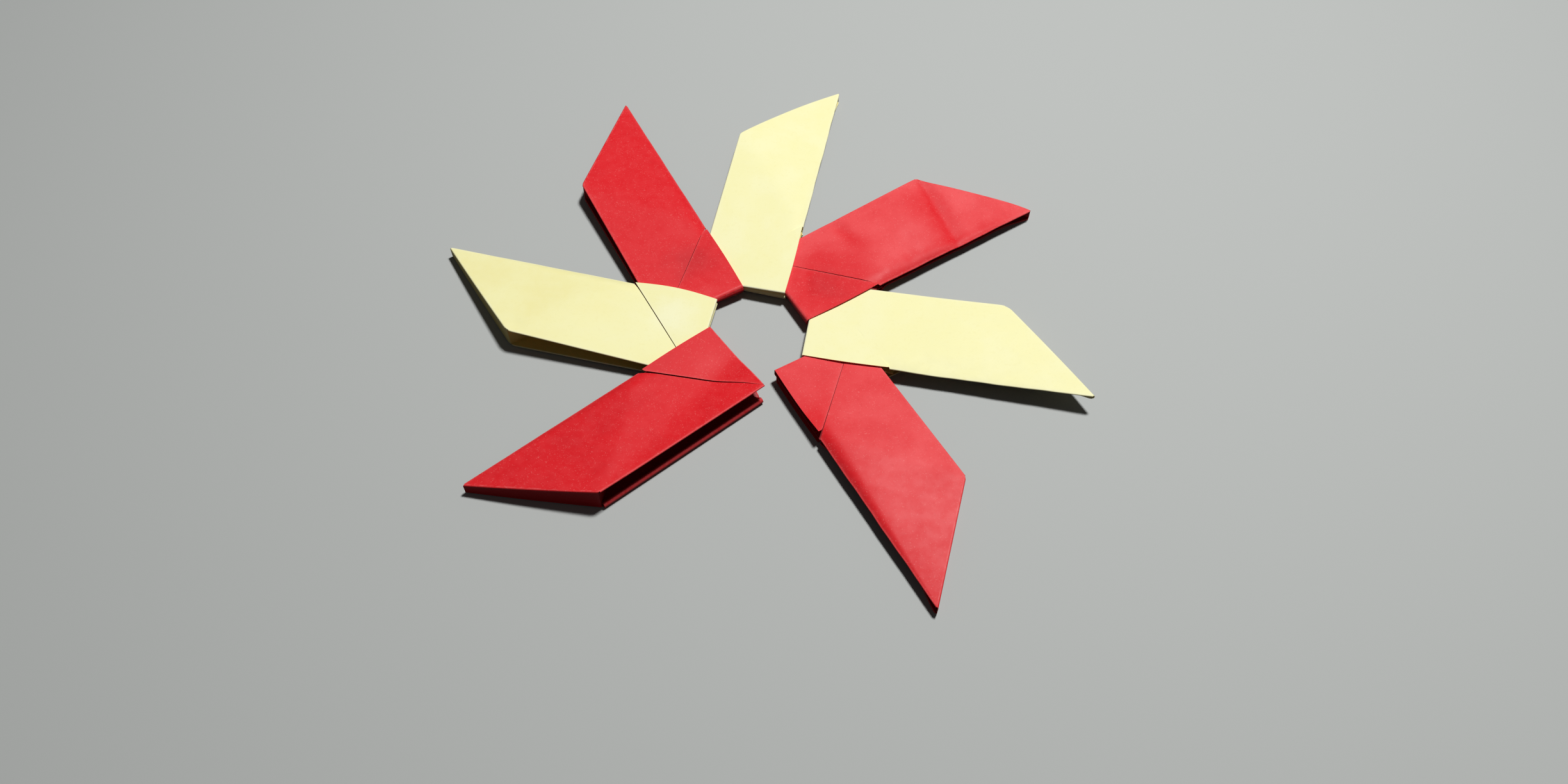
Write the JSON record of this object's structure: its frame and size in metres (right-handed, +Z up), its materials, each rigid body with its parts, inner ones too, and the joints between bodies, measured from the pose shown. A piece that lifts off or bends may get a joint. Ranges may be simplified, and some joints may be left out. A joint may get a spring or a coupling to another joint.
{
  "type": "origami star",
  "caption": "Flat modular paper star ring of interlocked folded arms in two colours, each arm's legs slipped over its neighbour's hub, with one place in the ring left open",
  "frame": {"origin": "on the table, under the middle of the star's outline", "axes": "+Z up through the star's flat ring, +Y towards the arm opposite the open place, +X to the right seen from above"},
  "size_m": [0.1708, 0.1626, 0.0082],
  "materials": {
    "red_paper": "matte craft paper with faint fibre specks and soft worn folds",
    "yellow_paper": "matte pale yellow craft paper with soft folds"
  },
  "bodies": {
    "root": {"red_arm_lower_left": "red_paper", "yellow_arm_left": "yellow_paper", "red_arm_upper_left": "red_paper", "yellow_arm_top": "yellow_paper", "red_arm_upper_right": "red_paper", "yellow_arm_right": "yellow_paper", "red_arm_lower_right": "red_paper"}
  },
  "joints": []
}
